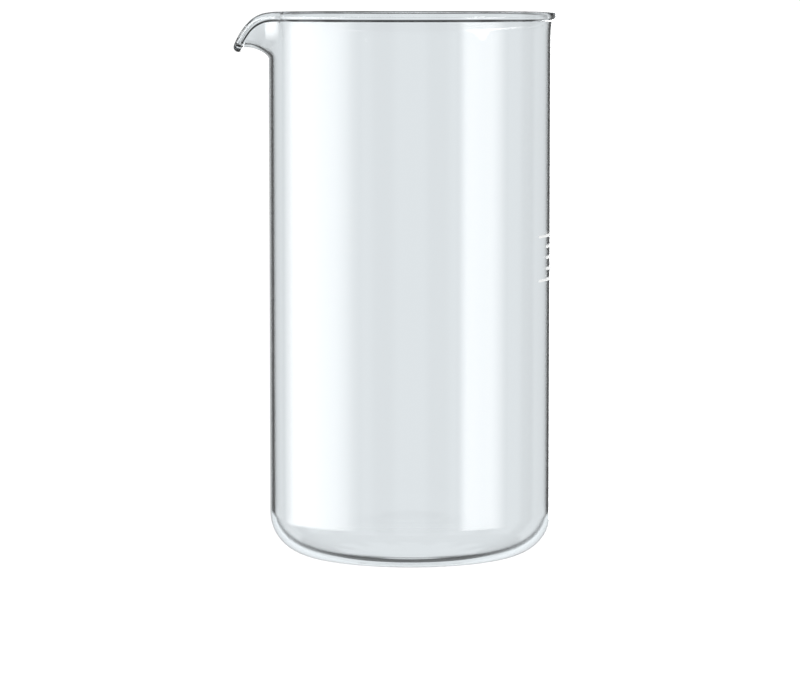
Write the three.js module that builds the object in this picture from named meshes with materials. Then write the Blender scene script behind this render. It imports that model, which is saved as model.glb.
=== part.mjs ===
// A glass coffee carafe: one blown beaker with a straight wall, a rounded heel, a beaded rim and a
// lip pulled out of the rim for pouring. A ladder of enamel level marks is fired onto its outside.
// Millimetres, +Z up. The origin is the middle of the underside, and the lip points along -X.

import * as THREE from "three";

// Beaker
const OUTER_DIAMETER = 96;
const HEIGHT = 184.5; // from the underside to the crest of the rim
const WALL = 1.4;
const BASE_THICKNESS = 2.4;
const HEEL_RADIUS = 14; // outside of the round edge between the wall and the base

// Rim: the wall leans out a little and ends in a round, fire-polished bead
const RIM_THICKNESS = 3.2; // across the bead
const NECK_DEPTH = 14.2; // the band under the rim that leans out and is pulled into the lip
const FLARE_POWER = 5; // a higher power keeps the lean nearer to the rim

// Lip: it is drawn out of the wall, over a crest and down to a drip tip
const LIP_DIRECTION = Math.PI; // about Z, from +X
const LIP_REACH = 10.2; // from the middle of the plain bead out to the tip
const LIP_DROP = 10.4; // from the middle of the plain bead down to the tip
const LIP_WIDTH = 44; // along the wall, where the lip leaves the plain rim
const LIP_FILLET = 0.5; // outside, where the lip leaves the wall
const CREST_BACK = 3.6; // the pull that shapes the crest lies this far behind the tip
const CREST_RISE = 2.4; // and this far above it
const DROOP_NARROWING = 2.6; // a higher power keeps the droop nearer to the lip's middle

// Level marks: short lines of enamel, one above the other, the first and the last one long
const MARK_COUNT = 5;
const MARK_PITCH = 3.7;
const MARK_LINE = 0.9; // the height of one line
const MARK_THICKNESS = 0.15;
const LONG_MARK = 26;
const SHORT_MARK = 12;
const TOP_MARK_BELOW_RIM = 75;
const MARKS_DIRECTION = THREE.MathUtils.degToRad(-11); // about Z, from +X
const MARK_CLEARANCE = 0.05;

// How finely round shapes are divided
const BODY_STEPS = 60; // around the beaker, outside the lip
const LIP_STEPS = 26; // across the lip
const HEEL_STEPS = 4; // in each half of the heel
const NECK_STEPS = 8; // from the foot of the neck to the bead
const BEAD_STEPS = 9; // over the bead, from the outside to the inside
const MARK_STEPS = 8; // in each half of a mark
const SLOPE_STEP = 1e-4; // for reading the slope of the neck

// Worked out from the sizes above
const OUTER_RADIUS = OUTER_DIAMETER / 2;
const INNER_RADIUS = OUTER_RADIUS - WALL;
const MIDDLE_RADIUS = OUTER_RADIUS - WALL / 2;
const INNER_HEEL_RADIUS = HEEL_RADIUS - WALL;
const BEAD_HEIGHT = HEIGHT - RIM_THICKNESS / 2; // of the bead's middle
const NECK_FOOT = BEAD_HEIGHT - NECK_DEPTH;
const LIP_HALF_ANGLE = LIP_WIDTH / 2 / OUTER_RADIUS;
const BEAD_RADIUS = RIM_THICKNESS / 2;
const RIM_FLARE = BEAD_RADIUS - WALL / 2; // the lean that keeps the bead out of the bore
const BEAD_START = Math.acos(WALL / RIM_THICKNESS); // the bead's round runs on this far under its middle
const BEAD_FOOT = 1 - (BEAD_RADIUS * Math.sin(BEAD_START)) / NECK_DEPTH; // where the neck runs into it

const GLASS = new THREE.MeshStandardMaterial({
  color: 0xdbe3e6,
  roughness: 0.03,
  metalness: 0,
  transparent: true,
  opacity: 0.35,
});
const ENAMEL = new THREE.MeshStandardMaterial({ color: 0xf2f3f2, roughness: 0.35, metalness: 0 });

// Whole steps from one value to another, both ends included
function spread(from, to, steps) {
  return Array.from({ length: steps + 1 }, (_, step) => from + ((to - from) * step) / steps);
}

// Once around the beaker, with finer steps across the lip. The last angle meets the first.
function anglesAround() {
  const lipStart = LIP_DIRECTION - LIP_HALF_ANGLE;
  const lipEnd = LIP_DIRECTION + LIP_HALF_ANGLE;
  const acrossLip = spread(lipStart, lipEnd, LIP_STEPS);
  const aroundBody = spread(lipEnd, lipStart + 2 * Math.PI, BODY_STEPS);
  return [...acrossLip.slice(0, -1), ...aroundBody.slice(0, -1)];
}

// A point of the lathe-turned body, from its radius and height
function turned(radius, height, angle) {
  return new THREE.Vector3(radius * Math.cos(angle), radius * Math.sin(angle), height);
}

// The heel's quarter round as radius and height, from the base out and up to the wall
function heelProfile(wallRadius, heelRadius, floorHeight) {
  const heel = new THREE.Path();
  const start = -Math.PI / 2;
  heel.absarc(wallRadius - heelRadius, floorHeight + heelRadius, heelRadius, start, 0, false);
  return heel.getPoints(HEEL_STEPS);
}

// How much of the lip's pull an angle gets: all in the middle of the lip, none at its two ends
function lipPull(angle) {
  const fromMiddle = Math.abs(angle - LIP_DIRECTION) / LIP_HALF_ANGLE;
  return fromMiddle < 1 ? Math.cos((fromMiddle * Math.PI) / 2) ** 2 : 0;
}

// The middle line of the plain rim as radius and height. climb is 0 at the neck's foot and 1 at the bead.
function rimLine(climb) {
  const radius = MIDDLE_RADIUS + RIM_FLARE * climb ** FLARE_POWER;
  return new THREE.Vector2(radius, NECK_FOOT + NECK_DEPTH * climb);
}

// The same line in the middle of the lip. The curve leaves its foot straight up, and there its radius is
// three halves of the root's height squared over the way out to the crest, which gives the root's height.
function lipLine() {
  const foot = rimLine(0);
  const tip = rimLine(1).add(new THREE.Vector2(LIP_REACH, -LIP_DROP));
  const crest = new THREE.Vector2(tip.x - CREST_BACK, tip.y + CREST_RISE);
  const rootHeight = Math.sqrt((2 / 3) * (WALL / 2 + LIP_FILLET) * (crest.x - foot.x));
  const root = new THREE.Vector2(foot.x, foot.y + rootHeight);
  return new THREE.CubicBezierCurve(foot, root, crest, tip);
}

const LIP_LINE = lipLine();

// The middle of the glass in the neck, which goes over from the plain rim to the lip
function neckMiddle(angle, climb) {
  const pull = lipPull(angle);
  const plain = rimLine(climb);
  const lip = LIP_LINE.getPoint(climb);
  const radius = THREE.MathUtils.lerp(plain.x, lip.x, pull);
  const height = THREE.MathUtils.lerp(plain.y, lip.y, pull ** DROOP_NARROWING);
  return turned(radius, height, angle);
}

// Unit vectors at a point of the neck: out of the glass on its outer side, and up along the glass
function neckDirections(angle, climb) {
  const lower = Math.max(climb - SLOPE_STEP, 0);
  const upper = Math.min(climb + SLOPE_STEP, 1);
  const around = neckMiddle(angle + SLOPE_STEP, climb).sub(neckMiddle(angle - SLOPE_STEP, climb));
  const along = neckMiddle(angle, upper).sub(neckMiddle(angle, lower));
  const out = around.clone().cross(along).normalize();
  const up = out.clone().cross(around).normalize();
  return { out, up };
}

// A point at a reach from the neck's middle. turn is 0 on the outside, and goes over the rim to pi inside.
function neckSkin(angle, climb, reach, turn) {
  const { out, up } = neckDirections(angle, climb);
  return neckMiddle(angle, climb)
    .addScaledVector(out, reach * Math.cos(turn))
    .addScaledVector(up, reach * Math.sin(turn));
}

// Every ring of the glass skin, from the underside up the outside, over the rim and down the inside
function glassRings() {
  const climbs = spread(0, BEAD_FOOT, NECK_STEPS);
  const overTheBead = spread(-BEAD_START, Math.PI + BEAD_START, BEAD_STEPS).slice(1, -1);
  const outerHeel = heelProfile(OUTER_RADIUS, HEEL_RADIUS, 0);
  const innerHeel = heelProfile(INNER_RADIUS, INNER_HEEL_RADIUS, BASE_THICKNESS).reverse();
  return [
    ...outerHeel.map((point) => (angle) => turned(point.x, point.y, angle)),
    ...climbs.map((climb) => (angle) => neckSkin(angle, climb, WALL / 2, 0)),
    ...overTheBead.map((turn) => (angle) => neckSkin(angle, 1, BEAD_RADIUS, turn)),
    ...climbs.reverse().map((climb) => (angle) => neckSkin(angle, climb, WALL / 2, Math.PI)),
    ...innerHeel.map((point) => (angle) => turned(point.x, point.y, angle)),
  ];
}

// The closed skin: a fan under the base, a band between each two rings, and a fan on the inner floor
function glassGeometry() {
  const angles = anglesAround();
  const rings = glassRings();
  const points = rings.flatMap((ring) => angles.map(ring));
  const underside = points.push(new THREE.Vector3(0, 0, 0)) - 1;
  const innerFloor = points.push(new THREE.Vector3(0, 0, BASE_THICKNESS)) - 1;
  const count = angles.length;
  const lastRing = rings.length - 1;
  const corner = (ring, step) => ring * count + (step % count);
  const triangles = [];
  for (let step = 0; step < count; step += 1) {
    triangles.push(underside, corner(0, step + 1), corner(0, step));
    for (let ring = 0; ring < lastRing; ring += 1) {
      triangles.push(corner(ring, step), corner(ring, step + 1), corner(ring + 1, step + 1));
      triangles.push(corner(ring, step), corner(ring + 1, step + 1), corner(ring + 1, step));
    }
    triangles.push(innerFloor, corner(lastRing, step), corner(lastRing, step + 1));
  }
  const geometry = new THREE.BufferGeometry().setFromPoints(points);
  geometry.setIndex(triangles);
  geometry.computeVertexNormals();
  return geometry;
}

function glassBeaker() {
  const beaker = new THREE.Mesh(glassGeometry(), GLASS);
  beaker.name = "glass_beaker";
  return beaker;
}

// One line of enamel that follows the round of the wall
function markGeometry(length) {
  const innerRadius = OUTER_RADIUS + MARK_CLEARANCE;
  const halfAngle = length / 2 / innerRadius;
  const band = new THREE.Shape();
  band.absarc(0, 0, innerRadius + MARK_THICKNESS, -halfAngle, halfAngle, false);
  band.absarc(0, 0, innerRadius, halfAngle, -halfAngle, true);
  const settings = { depth: MARK_LINE, bevelEnabled: false, curveSegments: MARK_STEPS };
  return new THREE.ExtrudeGeometry(band, settings);
}

// Marks are numbered upwards, and the last one is the topmost
function levelMark(index) {
  const last = MARK_COUNT - 1;
  const length = index === 0 || index === last ? LONG_MARK : SHORT_MARK;
  const mark = new THREE.Mesh(markGeometry(length), ENAMEL);
  mark.name = `level_mark_${index + 1}`;
  mark.position.z = HEIGHT - TOP_MARK_BELOW_RIM - (last - index) * MARK_PITCH - MARK_LINE / 2;
  return mark;
}

function levelMarks() {
  const marks = new THREE.Group();
  marks.rotation.z = MARKS_DIRECTION;
  for (let index = 0; index < MARK_COUNT; index += 1) {
    marks.add(levelMark(index));
  }
  return marks;
}

const carafe = new THREE.Group();
carafe.add(glassBeaker(), levelMarks());

export default carafe;
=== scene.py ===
"""The looks of a glass coffee carafe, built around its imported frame. Metres, +Z up, the lip along -X."""

import math

import bpy
import numpy as np
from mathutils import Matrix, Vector


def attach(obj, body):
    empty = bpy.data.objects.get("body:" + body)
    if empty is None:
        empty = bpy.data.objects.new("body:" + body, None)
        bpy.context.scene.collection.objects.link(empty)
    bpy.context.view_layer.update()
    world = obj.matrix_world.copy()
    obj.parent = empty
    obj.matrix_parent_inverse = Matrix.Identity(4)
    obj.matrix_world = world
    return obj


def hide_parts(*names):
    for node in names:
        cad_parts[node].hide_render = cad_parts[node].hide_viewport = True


MM = 0.001

# Beaker
OUTER_RADIUS = 48 * MM
HEIGHT = 184.5 * MM
WALL = 1.4 * MM
BASE_THICKNESS = 2.4 * MM
HEEL_RADIUS = 14 * MM

# Rim, with a round bead along its edge, and lip
RIM_THICKNESS = 3.2 * MM
NECK_DEPTH = 14.2 * MM
FLARE_POWER = 5
LIP_DIRECTION = math.pi
LIP_REACH = 10.2 * MM
LIP_DROP = 10.4 * MM
LIP_WIDTH = 44 * MM
LIP_FILLET = 0.5 * MM
CREST_BACK = 3.6 * MM
CREST_RISE = 2.4 * MM
DROOP_NARROWING = 2.6

# Level marks
MARK_COUNT = 5
MARK_PITCH = 3.7 * MM
MARK_LINE = 0.9 * MM
MARK_THICKNESS = 0.15 * MM
LONG_MARK = 26 * MM
SHORT_MARK = 12 * MM
TOP_MARK_BELOW_RIM = 75 * MM
MARKS_DIRECTION = math.radians(-11)
MARK_CLEARANCE = 0.05 * MM

# How finely the shapes are divided
BODY_STEPS = 264
LIP_STEPS = 120
HEEL_STEPS = 40
WALL_STEPS = 8
NECK_STEPS = 40
NECK_CROWDING = 1.6  # a higher power brings more of the neck's rings near the bead
BEAD_STEPS = 32
FLAT_STEPS = 4
SLOPE_STEP = 1e-4
MARK_STEPS = 40
MARK_END_STEPS = 6
MARK_DOME_STEPS = 10

# Glass
GLASS_IOR = 1.473
GLASS_DENSITY = 0.8
GLASS_ABSORPTION = (0.16, 0.26, 0.31, 1)
SPECULAR_LEVEL = 0.5
FACING_BLEND = 0.5  # facing is then one less the cosine of the angle the glass is seen at
GRAZING_START = 0.5  # the facing at which the mirror shine starts to fade towards the outline
GRAZING_END = 0.8

# Enamel of the marks
ENAMEL_DARK = (0.82, 0.84, 0.84, 1)
ENAMEL_LIGHT = (0.95, 0.96, 0.96, 1)
ENAMEL_CLOUD_SCALE = 900
ENAMEL_CLOUD_DETAIL = 3
ENAMEL_CLOUD_LOW = 0.3
ENAMEL_CLOUD_HIGH = 0.7
ENAMEL_SMOOTH = 0.28  # roughness where the cloud is low
ENAMEL_ROUGH = 0.45
ENAMEL_GRAIN_SCALE = 5000
ENAMEL_GRAIN_DETAIL = 2
ENAMEL_GRAIN_STRENGTH = 0.3
ENAMEL_GRAIN_HEIGHT = 0.02 * MM

# Photograph: the camera stands a little above the level of the rim
PHOTO_WIDTH = 800
FOCAL_PIXELS = 3589
SENSOR_WIDTH = 36
CAMERA_DISTANCE = 1.22
LOOK_DOWN_ON_RIM = math.radians(0.3)
AIM = Vector((-3.6 * MM, 0, 73.2 * MM))

# Floor
FLOOR_RADIUS = 6
FLOOR_SIDES = 96
FLOOR_DROP = 0.3 * MM
FLOOR_DARK = (0.92, 0.92, 0.92, 1)
FLOOR_LIGHT = (0.95, 0.95, 0.95, 1)
FLOOR_CLOUD_SCALE = 6
FLOOR_CLOUD_DETAIL = 4

# Studio: a white background, and pale panels with dark gaps that show through the glass
ROOM_LIGHT = 1.12
PANEL_COLOUR = (0.755, 0.80, 0.825, 1)
PANEL_TURN = math.pi / 4  # from the middle of one panel to the next
PANEL_EDGE = math.radians(9)  # from the middle of a panel
GAP_EDGE = math.radians(18)
GAP_LIGHT = 0.02
UNDER_LIGHT_TOP = -0.87  # heights of directions: -1 is straight down and 1 is straight up
UNDER_LIGHT_FULL = -0.95
LOW_RING_BOTTOM = -0.86
LOW_RING_DARK = -0.8
LOW_RING_TOP = -0.62
LOW_RING_CLEAR = -0.56
LOW_RING_LIGHT = 0.05
SKY_START = 0.22
SKY_END = 0.45
SKY_LIGHT = 0.04
FAR_LIGHT = 1.0
FAR_WALL_DEPTH = 3.5  # a ray that crosses more faces of the glass than this has met the far wall
TRAPPED_LIGHT = 1.45
TRAPPED_DEPTH = 5.5  # a ray that bounces more often than this is trapped in the glass
STEEP = 0.6  # a ray that leaves the glass more steeply than this gets no trapped light
SHINE_LIGHT = 0.25
SHINE_SKY = 0.3  # at this height of direction the mirrored room is as dark as the sky
LIGHT_BOUNCES = 128

# Softboxes: bearings in degrees, and fades as shares of the left, right, lower and upper side
SOFTBOX_DISTANCE = 0.6
SOFTBOX_STEPS = 24
SOFTBOXES = {
    "left_softbox": {
        "bearings": (-124, -38),
        "heights": (-0.15, 0.26),
        "strength": 6.2,
        "fades": (0.275, 0.31, 0.17, 0.05),
    },
    "right_softbox": {
        "bearings": (36, 83),
        "heights": (-0.115, 0.25),
        "strength": 5.9,
        "fades": (0.21, 0.40, 0.12, 0.1),
    },
    "back_softbox": {
        "bearings": (150, 185),
        "heights": (-0.1, 0.26),
        "strength": 5.0,
        "fades": (0.3, 0.3, 0.05, 0.05),
    },
}

# Worked out from the sizes above
INNER_RADIUS = OUTER_RADIUS - WALL
MIDDLE_RADIUS = OUTER_RADIUS - WALL / 2
INNER_HEEL_RADIUS = HEEL_RADIUS - WALL
LIP_HALF_ANGLE = LIP_WIDTH / 2 / OUTER_RADIUS
BEAD_RADIUS = RIM_THICKNESS / 2
NECK_FOOT = HEIGHT - BEAD_RADIUS - NECK_DEPTH
RIM_FLARE = BEAD_RADIUS - WALL / 2  # the lean that keeps the bead out of the bore
BEAD_START = math.acos(WALL / RIM_THICKNESS)  # how far the bead's round runs on under its middle
BEAD_FOOT = 1 - BEAD_RADIUS * math.sin(BEAD_START) / NECK_DEPTH


# Shape of the glass

def angles_around():
    """Once around the beaker, with finer steps across the lip."""
    lip_start = LIP_DIRECTION - LIP_HALF_ANGLE
    lip_end = LIP_DIRECTION + LIP_HALF_ANGLE
    across_lip = np.linspace(lip_start, lip_end, LIP_STEPS, endpoint=False)
    around_body = np.linspace(lip_end, lip_start + 2 * math.pi, BODY_STEPS, endpoint=False)
    return np.concatenate([across_lip, around_body])


def turned(radius, height, angles):
    """A ring of points from its radius and height."""
    heights = np.broadcast_to(height, angles.shape)
    return np.column_stack([radius * np.cos(angles), radius * np.sin(angles), heights])


def heel(wall_radius, heel_radius, floor_height):
    """Radius and height along the heel's quarter round, from the base up to the wall."""
    turn = np.linspace(-math.pi / 2, 0, HEEL_STEPS + 1)
    radii = wall_radius - heel_radius + heel_radius * np.cos(turn)
    heights = floor_height + heel_radius + heel_radius * np.sin(turn)
    return list(zip(radii, heights))


def lip_pull(angles):
    """How much of the lip's pull each angle gets: all in the middle of the lip, none past its ends."""
    from_middle = np.minimum(np.abs(angles - LIP_DIRECTION) / LIP_HALF_ANGLE, 1)
    return np.cos(from_middle * math.pi / 2) ** 2


def rim_line(climb):
    """Radius and height of the plain rim's middle line, from the neck's foot at 0 to the bead at 1."""
    return np.array([MIDDLE_RADIUS + RIM_FLARE * climb ** FLARE_POWER, NECK_FOOT + NECK_DEPTH * climb])


def lip_line(climb):
    """The same line in the middle of the lip, a cubic curve over a crest to the drip tip.

    The bend at its foot leaves the fillet on the outside, and that gives the height of the root.
    """
    foot = rim_line(0)
    tip = rim_line(1) + np.array([LIP_REACH, -LIP_DROP])
    crest = tip + np.array([-CREST_BACK, CREST_RISE])
    root_height = math.sqrt(2 / 3 * (WALL / 2 + LIP_FILLET) * (crest[0] - foot[0]))
    root = foot + np.array([0, root_height])
    rest = 1 - climb
    return (rest ** 3 * foot + 3 * rest ** 2 * climb * root
            + 3 * rest * climb ** 2 * crest + climb ** 3 * tip)


def neck_middle(angles, climb):
    """The middle of the glass in the neck, which goes over from the plain rim to the lip."""
    pull = lip_pull(angles)
    plain = rim_line(climb)
    lip = lip_line(climb)
    radius = plain[0] + (lip[0] - plain[0]) * pull
    height = plain[1] + (lip[1] - plain[1]) * pull ** DROOP_NARROWING
    return turned(radius, height, angles)


def unit(vectors):
    return vectors / np.linalg.norm(vectors, axis=1, keepdims=True)


def neck_skin(angles, climb, reach, turn):
    """A ring at a reach from the neck's middle. turn is 0 outside, and goes over the rim to pi inside."""
    lower = max(climb - SLOPE_STEP, 0)
    upper = min(climb + SLOPE_STEP, 1)
    around = neck_middle(angles + SLOPE_STEP, climb) - neck_middle(angles - SLOPE_STEP, climb)
    along = neck_middle(angles, upper) - neck_middle(angles, lower)
    out = unit(np.cross(around, along))
    up = unit(np.cross(out, around))
    return neck_middle(angles, climb) + reach * (math.cos(turn) * out + math.sin(turn) * up)


def neck_climbs():
    """Steps up the neck to the foot of the bead, finer towards it."""
    even = np.linspace(0, 1, NECK_STEPS + 1)
    return BEAD_FOOT * (1 - (1 - even) ** NECK_CROWDING)


def glass_rings(angles):
    """Rings of the skin from the underside up the outside, over the rim and down to the inner floor."""
    flat = np.linspace(0, 1, FLAT_STEPS, endpoint=False)[1:]
    climbs = neck_climbs()
    over_the_bead = np.linspace(-BEAD_START, math.pi + BEAD_START, BEAD_STEPS + 1)[1:-1]
    outer_heel = heel(OUTER_RADIUS, HEEL_RADIUS, 0)
    inner_heel = heel(INNER_RADIUS, INNER_HEEL_RADIUS, BASE_THICKNESS)
    outer_wall = np.linspace(outer_heel[-1][1], NECK_FOOT, WALL_STEPS, endpoint=False)[1:]
    inner_wall = np.linspace(inner_heel[-1][1], NECK_FOOT, WALL_STEPS, endpoint=False)[1:]
    outside = [turned(share * outer_heel[0][0], 0, angles) for share in flat]
    outside += [turned(radius, height, angles) for radius, height in outer_heel]
    outside += [turned(OUTER_RADIUS, height, angles) for height in outer_wall]
    outside += [neck_skin(angles, climb, WALL / 2, 0) for climb in climbs]
    bead = [neck_skin(angles, 1, BEAD_RADIUS, turn) for turn in over_the_bead]
    inside = [turned(share * inner_heel[0][0], BASE_THICKNESS, angles) for share in flat]
    inside += [turned(radius, height, angles) for radius, height in inner_heel]
    inside += [turned(INNER_RADIUS, height, angles) for height in inner_wall]
    inside += [neck_skin(angles, climb, WALL / 2, math.pi) for climb in climbs]
    return outside + bead + inside[::-1]


def skin_faces(ring_count, around):
    """Bands of quads between the rings, and a fan on the underside and on the inner floor."""
    steps = np.arange(around)
    following = (steps + 1) % around
    bands = []
    for ring in range(ring_count - 1):
        low = ring * around
        high = low + around
        band = np.column_stack([low + steps, low + following, high + following, high + steps])
        bands += band.tolist()
    underside = ring_count * around
    last = (ring_count - 1) * around
    pairs = list(zip(steps.tolist(), following.tolist()))
    fans = [[underside, after, step] for step, after in pairs]
    fans += [[underside + 1, last + step, last + after] for step, after in pairs]
    return bands + fans


def new_object(name, points, faces, material):
    mesh = bpy.data.meshes.new(name)
    mesh.from_pydata(np.asarray(points).tolist(), [], faces)
    mesh.materials.append(material)
    piece = bpy.data.objects.new(name, mesh)
    bpy.context.scene.collection.objects.link(piece)
    return piece


def glass_beaker():
    angles = angles_around()
    rings = glass_rings(angles)
    poles = np.array([[0, 0, 0], [0, 0, BASE_THICKNESS]])
    points = np.concatenate(rings + [poles])
    beaker = new_object("clear_beaker", points, skin_faces(len(rings), len(angles)), clear_glass())
    beaker.data.shade_smooth()
    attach(beaker, "root")
    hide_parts("glass_beaker")


# Materials

class Wiring:
    """Short ways to add nodes to one node tree. A value is a number, or the output that feeds it."""

    def __init__(self, tree):
        self.tree = tree
        tree.nodes.clear()

    def add(self, kind, inputs=None, **settings):
        node = self.tree.nodes.new(kind)
        for name, value in settings.items():
            setattr(node, name, value)
        for name, value in (inputs or {}).items():
            self.feed(node.inputs[name], value)
        return node

    def feed(self, socket, value):
        if isinstance(value, bpy.types.NodeSocket):
            self.tree.links.new(value, socket)
        else:
            socket.default_value = value

    def maths(self, operation, first, second=0.0):
        node = self.add("ShaderNodeMath", operation=operation)
        self.feed(node.inputs[0], first)
        self.feed(node.inputs[1], second)
        return node.outputs["Value"]

    def ramp(self, value, start, end, low, high):
        """Eases from low at start to high at end."""
        inputs = {"Value": value, "From Min": start, "From Max": end, "To Min": low, "To Max": high}
        return self.add("ShaderNodeMapRange", inputs, interpolation_type="SMOOTHSTEP").outputs["Result"]

    def mixed(self, factor, first, second):
        return self.add("ShaderNodeMix", {"Factor": factor, "A": first, "B": second}).outputs["Result"]

    def mixed_colour(self, factor, first, second):
        inputs = {"Factor": factor, "A": first, "B": second}
        return self.add("ShaderNodeMix", inputs, data_type="RGBA").outputs["Result"]

    def noise(self, place, scale, detail):
        inputs = {"Vector": place, "Scale": scale, "Detail": detail}
        return self.add("ShaderNodeTexNoise", inputs).outputs["Fac"]


def new_material(name):
    material = bpy.data.materials.new(name)
    material.use_nodes = True
    return material, Wiring(material.node_tree)


def clear_glass():
    """Clear glass with a faint cool tint, whose mirror shine fades towards its outline."""
    material, wiring = new_material("clear_glass")
    facing = wiring.add("ShaderNodeLayerWeight", {"Blend": FACING_BLEND}).outputs["Facing"]
    shader = wiring.add("ShaderNodeBsdfPrincipled", {
        "Base Color": (1, 1, 1, 1),
        "Transmission Weight": 1,
        "IOR": GLASS_IOR,
        "Roughness": 0,
        "Specular IOR Level": wiring.ramp(facing, GRAZING_START, GRAZING_END, SPECULAR_LEVEL, 0),
    })
    absorption = wiring.add("ShaderNodeVolumeAbsorption", {
        "Color": GLASS_ABSORPTION,
        "Density": GLASS_DENSITY,
    })
    wiring.add("ShaderNodeOutputMaterial", {
        "Surface": shader.outputs["BSDF"],
        "Volume": absorption.outputs["Volume"],
    })
    return material


def white_enamel():
    material, wiring = new_material("white_enamel")
    place = wiring.add("ShaderNodeTexCoord").outputs["Object"]
    cloud = wiring.noise(place, ENAMEL_CLOUD_SCALE, ENAMEL_CLOUD_DETAIL)
    grain = wiring.noise(place, ENAMEL_GRAIN_SCALE, ENAMEL_GRAIN_DETAIL)
    bump = wiring.add("ShaderNodeBump", {
        "Height": grain,
        "Strength": ENAMEL_GRAIN_STRENGTH,
        "Distance": ENAMEL_GRAIN_HEIGHT,
    })
    roughness = wiring.ramp(cloud, ENAMEL_CLOUD_LOW, ENAMEL_CLOUD_HIGH, ENAMEL_SMOOTH, ENAMEL_ROUGH)
    shader = wiring.add("ShaderNodeBsdfPrincipled", {
        "Base Color": wiring.mixed_colour(cloud, ENAMEL_DARK, ENAMEL_LIGHT),
        "Roughness": roughness,
        "Normal": bump.outputs["Normal"],
    })
    wiring.add("ShaderNodeOutputMaterial", {"Surface": shader.outputs["BSDF"]})
    return material


def pale_floor_paint():
    material, wiring = new_material("pale_floor")
    place = wiring.add("ShaderNodeTexCoord").outputs["Object"]
    cloud = wiring.noise(place, FLOOR_CLOUD_SCALE, FLOOR_CLOUD_DETAIL)
    colour = wiring.mixed_colour(cloud, FLOOR_DARK, FLOOR_LIGHT)
    shader = wiring.add("ShaderNodeBsdfDiffuse", {"Color": colour})
    wiring.add("ShaderNodeOutputMaterial", {"Surface": shader.outputs["BSDF"]})
    return material


def softbox_light(strength, fades):
    """Light of a softbox that fades out over the given shares of its left, right, lower and upper side."""
    material, wiring = new_material("softbox_light")
    left, right, lower, upper = fades
    place = wiring.add("ShaderNodeTexCoord").outputs["UV"]
    axes = wiring.add("ShaderNodeSeparateXYZ", {"Vector": place}).outputs
    across = wiring.maths("MULTIPLY", wiring.ramp(axes["X"], 0, left, 0, 1),
                          wiring.ramp(axes["X"], 1 - right, 1, 1, 0))
    along = wiring.maths("MULTIPLY", wiring.ramp(axes["Y"], 0, lower, 0, 1),
                         wiring.ramp(axes["Y"], 1 - upper, 1, 1, 0))
    level = wiring.maths("MULTIPLY", wiring.maths("MULTIPLY", across, along), strength)
    emission = wiring.add("ShaderNodeEmission", {"Strength": level})
    wiring.add("ShaderNodeOutputMaterial", {"Surface": emission.outputs["Emission"]})
    material.cycles.emission_sampling = "NONE"
    return material


# Level marks

def mark_sections(length):
    """Places along a stroke with round ends, and half its height at each of them."""
    half_line = MARK_LINE / 2
    straight = length / 2 - half_line
    quarter = np.linspace(0, math.pi / 2, MARK_END_STEPS, endpoint=False)[1:]
    end_places = straight + half_line * np.sin(quarter)
    end_heights = half_line * np.cos(quarter)
    middle = np.linspace(-straight, straight, MARK_STEPS + 1)
    places = np.concatenate([-end_places[::-1], middle, end_places])
    heights = np.concatenate([end_heights[::-1], np.full(len(middle), half_line), end_heights])
    return places, heights


def mark_points(length, height):
    """Rings of a domed stroke that follows the round of the wall."""
    dome = np.linspace(0, math.pi, MARK_DOME_STEPS + 1)
    radii = OUTER_RADIUS + MARK_CLEARANCE + MARK_THICKNESS * np.sin(dome)
    rings = []
    for place, half_height in zip(*mark_sections(length)):
        angles = np.full(len(dome), MARKS_DIRECTION + place / OUTER_RADIUS)
        rings.append(turned(radii, height + half_height * np.cos(dome), angles))
    return rings


def mark_faces(ring_count, around):
    """Quads between the rings, and a face on both ends."""
    faces = [list(range(around)), list(range((ring_count - 1) * around, ring_count * around))[::-1]]
    for ring in range(ring_count - 1):
        for step in range(around):
            here = ring * around + step
            following = ring * around + (step + 1) % around
            faces.append([here, here + around, following + around, following])
    return faces


def level_marks():
    """Marks are numbered upwards, and the last one is the topmost."""
    enamel = white_enamel()
    last = MARK_COUNT - 1
    for index in range(MARK_COUNT):
        length = LONG_MARK if index in (0, last) else SHORT_MARK
        height = HEIGHT - TOP_MARK_BELOW_RIM - (last - index) * MARK_PITCH
        rings = mark_points(length, height)
        faces = mark_faces(len(rings), MARK_DOME_STEPS + 1)
        mark = new_object(f"enamel_mark_{index + 1}", np.concatenate(rings), faces, enamel)
        mark.data.shade_smooth()
        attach(mark, "root")
        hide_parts(f"level_mark_{index + 1}")


# Stage, light and camera

def floor():
    turn = np.linspace(0, 2 * math.pi, FLOOR_SIDES, endpoint=False)
    points = turned(FLOOR_RADIUS, -FLOOR_DROP, turn)
    ground = new_object("floor", points, [list(range(len(turn)))], pale_floor_paint())
    ground.visible_glossy = False
    ground.visible_transmission = False


def softbox(name, bearings, heights, strength, fades):
    """A curved panel around the beaker that only shows as a reflection. Bearings turn from -Y to +X."""
    count = SOFTBOX_STEPS + 1
    turns = np.radians(np.linspace(*bearings, count)) - math.pi / 2
    points = np.concatenate([turned(SOFTBOX_DISTANCE, height, turns) for height in heights])
    faces = [(step, step + 1, count + step + 1, count + step) for step in range(SOFTBOX_STEPS)]
    panel = new_object(name, points, faces, softbox_light(strength, fades))
    layer = panel.data.uv_layers.new(name="UVMap")
    for corner, loop in zip(layer.data, panel.data.loops):
        row, step = divmod(loop.vertex_index, count)
        corner.uv = (step / SOFTBOX_STEPS, row)
    panel.visible_camera = False
    panel.visible_diffuse = False
    panel.visible_transmission = False
    panel.visible_shadow = False


def softboxes():
    """The tall highlight at the left, the shorter one at the right, and a faint one inside the far wall."""
    for name, settings in SOFTBOXES.items():
        softbox(name, **settings)


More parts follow.
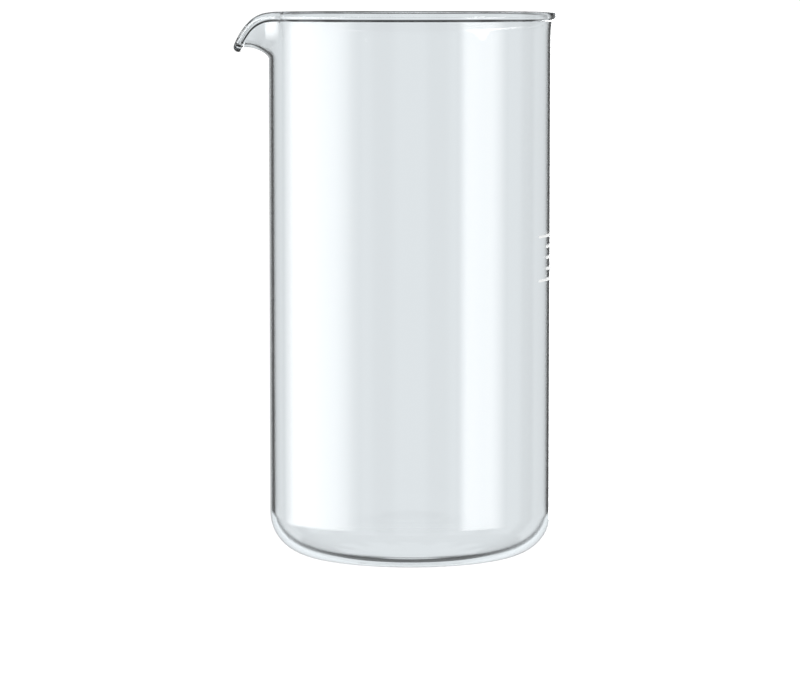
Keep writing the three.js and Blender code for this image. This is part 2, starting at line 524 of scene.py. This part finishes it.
def panel_light(wiring, axes):
    """Light of the pale panels and the dark between, under and over them, by the direction looked in."""
    turn = wiring.maths("ADD", wiring.maths("ARCTAN2", axes["X"], axes["Y"]), 2 * math.pi)
    from_panel = wiring.maths("PINGPONG", turn, PANEL_TURN / 2)
    panels = wiring.ramp(from_panel, PANEL_EDGE, GAP_EDGE, 1, GAP_LIGHT)
    under = wiring.ramp(axes["Z"], UNDER_LIGHT_FULL, UNDER_LIGHT_TOP, 1, 0)
    ring_top = wiring.ramp(axes["Z"], LOW_RING_TOP, LOW_RING_CLEAR, LOW_RING_LIGHT, 1)
    ring_bottom = wiring.ramp(axes["Z"], LOW_RING_BOTTOM, LOW_RING_DARK, 1, 0)
    sky = wiring.ramp(axes["Z"], SKY_START, SKY_END, 1, SKY_LIGHT)
    around = wiring.maths("MULTIPLY", wiring.maths("MAXIMUM", panels, under), sky)
    return wiring.maths("MULTIPLY", around, wiring.maths("MAXIMUM", ring_top, ring_bottom))


def far_light(wiring, axes, path):
    """Even light for what the far wall mirrors, and for light that goes round and round in the glass."""
    mirrored = wiring.maths("MINIMUM", path["Glossy Depth"], 1)
    crossed = wiring.maths("GREATER_THAN", path["Transmission Depth"], FAR_WALL_DEPTH)
    far_wall = wiring.maths("MULTIPLY", mirrored, crossed)
    shallow = wiring.maths("LESS_THAN", wiring.maths("ABSOLUTE", axes["Z"]), STEEP)
    bounced = wiring.maths("GREATER_THAN", path["Glossy Depth"], TRAPPED_DEPTH)
    trapped = wiring.maths("MULTIPLY", shallow, bounced)
    return wiring.maths("MAXIMUM", wiring.maths("MULTIPLY", far_wall, FAR_LIGHT),
                        wiring.maths("MULTIPLY", trapped, TRAPPED_LIGHT))


def studio_world():
    """White to the camera and the floor, the panels through the glass, and a dim room mirrored in it."""
    world = bpy.data.worlds.new("studio")
    world.use_nodes = True
    wiring = Wiring(world.node_tree)
    direction = wiring.add("ShaderNodeTexCoord").outputs["Generated"]
    axes = wiring.add("ShaderNodeSeparateXYZ", {"Vector": direction}).outputs
    path = wiring.add("ShaderNodeLightPath").outputs
    through = wiring.maths("MAXIMUM", panel_light(wiring, axes), far_light(wiring, axes, path))
    mirrored = wiring.ramp(axes["Z"], 0, SHINE_SKY, SHINE_LIGHT, SKY_LIGHT)
    from_glass = wiring.mixed(path["Is Transmission Ray"], mirrored, through)
    diffused = wiring.maths("MINIMUM", path["Diffuse Depth"], 1)
    plain = wiring.maths("MAXIMUM", path["Is Camera Ray"], diffused)
    tinted = wiring.maths("MULTIPLY", path["Is Transmission Ray"], wiring.maths("SUBTRACT", 1, plain))
    background = wiring.add("ShaderNodeBackground", {
        "Color": wiring.mixed_colour(tinted, (1, 1, 1, 1), PANEL_COLOUR),
        "Strength": wiring.mixed(plain, from_glass, ROOM_LIGHT),
    })
    wiring.add("ShaderNodeOutputWorld", {"Surface": background.outputs["Background"]})
    world.cycles.sampling_method = "NONE"
    bpy.context.scene.world = world


def camera():
    data = bpy.data.cameras.new("camera")
    data.sensor_width = SENSOR_WIDTH
    data.lens = FOCAL_PIXELS / PHOTO_WIDTH * SENSOR_WIDTH
    eye = Vector((0, -CAMERA_DISTANCE, HEIGHT + CAMERA_DISTANCE * math.tan(LOOK_DOWN_ON_RIM)))
    viewer = bpy.data.objects.new("camera", data)
    viewer.location = eye
    viewer.rotation_euler = (AIM - eye).to_track_quat("-Z", "Y").to_euler()
    bpy.context.scene.collection.objects.link(viewer)
    bpy.context.scene.camera = viewer


def light_paths():
    scene = bpy.context.scene
    scene.view_settings.view_transform = "Standard"
    scene.cycles.max_bounces = LIGHT_BOUNCES
    scene.cycles.transmission_bounces = LIGHT_BOUNCES
    scene.cycles.glossy_bounces = LIGHT_BOUNCES
    scene.cycles.caustics_refractive = True
    scene.cycles.caustics_reflective = True
    scene.cycles.blur_glossy = 0


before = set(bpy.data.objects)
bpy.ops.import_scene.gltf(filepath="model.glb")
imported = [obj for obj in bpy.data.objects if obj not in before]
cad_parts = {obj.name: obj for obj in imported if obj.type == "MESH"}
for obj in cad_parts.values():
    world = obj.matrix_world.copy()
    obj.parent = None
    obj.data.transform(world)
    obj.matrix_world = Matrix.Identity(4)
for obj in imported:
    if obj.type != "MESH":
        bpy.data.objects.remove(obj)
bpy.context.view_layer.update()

camera()
studio_world()
softboxes()
floor()
light_paths()
glass_beaker()
level_marks()
